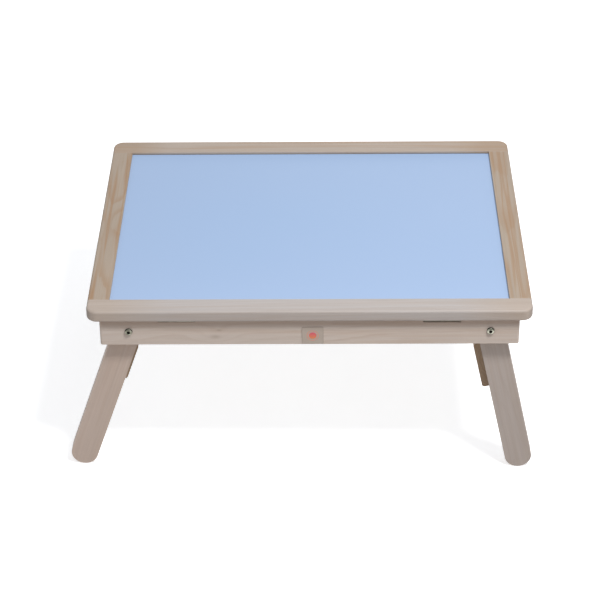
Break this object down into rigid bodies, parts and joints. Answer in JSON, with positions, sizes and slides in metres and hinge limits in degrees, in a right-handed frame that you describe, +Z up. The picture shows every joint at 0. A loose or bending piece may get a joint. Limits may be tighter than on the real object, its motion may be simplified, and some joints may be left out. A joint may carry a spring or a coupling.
{
  "type": "light box",
  "caption": "Folding-leg drawing light box: hinged pine frame lid holding an edge-lit opal panel, on an apron frame with two folding leg pairs and a swing-down prop.",
  "frame": {"origin": "on the floor under the middle of the whole object with its legs as pictured", "axes": "+X along the lid to the right, +Y from the hinged front edge to the rear, +Z up, square to the lid"},
  "size_m": [0.6472, 0.48, 0.2738],
  "materials": {
    "pine": "planed pale pine under a thin matt varnish",
    "pine_leg": "planed pine, slightly greyer, matt varnish",
    "pine_stretcher": "pine board with browner end grain, matt varnish",
    "opal_acrylic": "satin opal sheet with a faint cold glow",
    "clear_acrylic": "polished clear acrylic",
    "white_plastic": "matt white",
    "aluminium_sheet": "mill-finish rolled sheet",
    "antique_steel": "antique brown plated steel, rubbed on the high spots",
    "zinc_steel": "bright zinc plating",
    "black_plastic": "fine matt moulded black",
    "label": "plain stuck-on label with a coral dot, no lettering"
  },
  "bodies": {
    "base": {"front_apron": "pine", "front_label": "label", "left_apron": "pine", "left_front_pivot_bolt": "antique_steel", "left_front_pivot_nut": "zinc_steel", "left_front_pivot_washer": "zinc_steel", "left_hinge_apron_leaf": "antique_steel", "left_hinge_pin": "antique_steel", "left_rear_pivot_bolt": "antique_steel", "left_rear_pivot_nut": "zinc_steel", "left_rear_pivot_washer": "zinc_steel", "rear_apron": "pine", "right_apron": "pine", "right_front_pivot_bolt": "antique_steel", "right_front_pivot_nut": "zinc_steel", "right_front_pivot_washer": "zinc_steel", "right_hinge_apron_leaf": "antique_steel", "right_hinge_pin": "antique_steel", "right_rear_pivot_bolt": "antique_steel", "right_rear_pivot_nut": "zinc_steel", "right_rear_pivot_washer": "zinc_steel"},
    "lid": {"back_panel": "aluminium_sheet", "back_screw_1": "zinc_steel", "back_screw_2": "zinc_steel", "back_screw_3": "zinc_steel", "back_screw_4": "zinc_steel", "back_screw_5": "zinc_steel", "back_screw_6": "zinc_steel", "dc_socket": "black_plastic", "led_strip_front": "white_plastic", "led_strip_rear": "white_plastic", "left_hinge_lid_leaf": "antique_steel", "left_prop_saddle": "zinc_steel", "lid_front_rail": "pine", "lid_left_rail": "pine", "lid_rear_rail": "pine", "lid_right_rail": "pine", "light_guide": "clear_acrylic", "link_lead": "black_plastic", "opal_panel": "opal_acrylic", "reflector_sheet": "white_plastic", "right_hinge_lid_leaf": "antique_steel", "right_prop_saddle": "zinc_steel", "socket_lead": "black_plastic", "strip_lead": "black_plastic", "switch_body": "black_plastic"},
    "left_legs": {"left_front_leg": "pine_leg", "left_front_stretcher_screw": "zinc_steel", "left_rear_leg": "pine_leg", "left_rear_stretcher_screw": "zinc_steel", "left_stretcher": "pine_stretcher"},
    "right_legs": {"right_front_leg": "pine_leg", "right_front_stretcher_screw": "zinc_steel", "right_rear_leg": "pine_leg", "right_rear_stretcher_screw": "zinc_steel", "right_stretcher": "pine_stretcher"},
    "prop": {"prop_bail": "zinc_steel"},
    "rocker": {"switch_rocker": "black_plastic"}
  },
  "joints": [
    {"name": "lid_tilt", "type": "hinge", "parent": "base", "child": "lid", "pos_m": [0.01281, -0.2324, 0.25477], "axis": [1, 0, 0], "range_deg": [0, 75]},
    {"name": "left_leg_fold", "type": "hinge", "parent": "base", "child": "left_legs", "pos_m": [-0.23119, 0, 0.23777], "axis": [0, -1, 0], "range_deg": [-1.3, 108.7]},
    {"name": "right_leg_fold", "type": "hinge", "parent": "base", "child": "right_legs", "pos_m": [0.25681, 0, 0.23777], "axis": [0, 1, 0], "range_deg": [-8.1, 94.9]},
    {"name": "prop_swing", "type": "hinge", "parent": "lid", "child": "prop", "pos_m": [0.01281, 0.19, 0.25927], "axis": [1, 0, 0], "range_deg": [0, 90]},
    {"name": "switch_rock", "type": "hinge", "parent": "lid", "child": "rocker", "pos_m": [0.21281, 0.235, 0.26516], "axis": [0, 0, 1], "range_deg": [0, 16]}
  ]
}
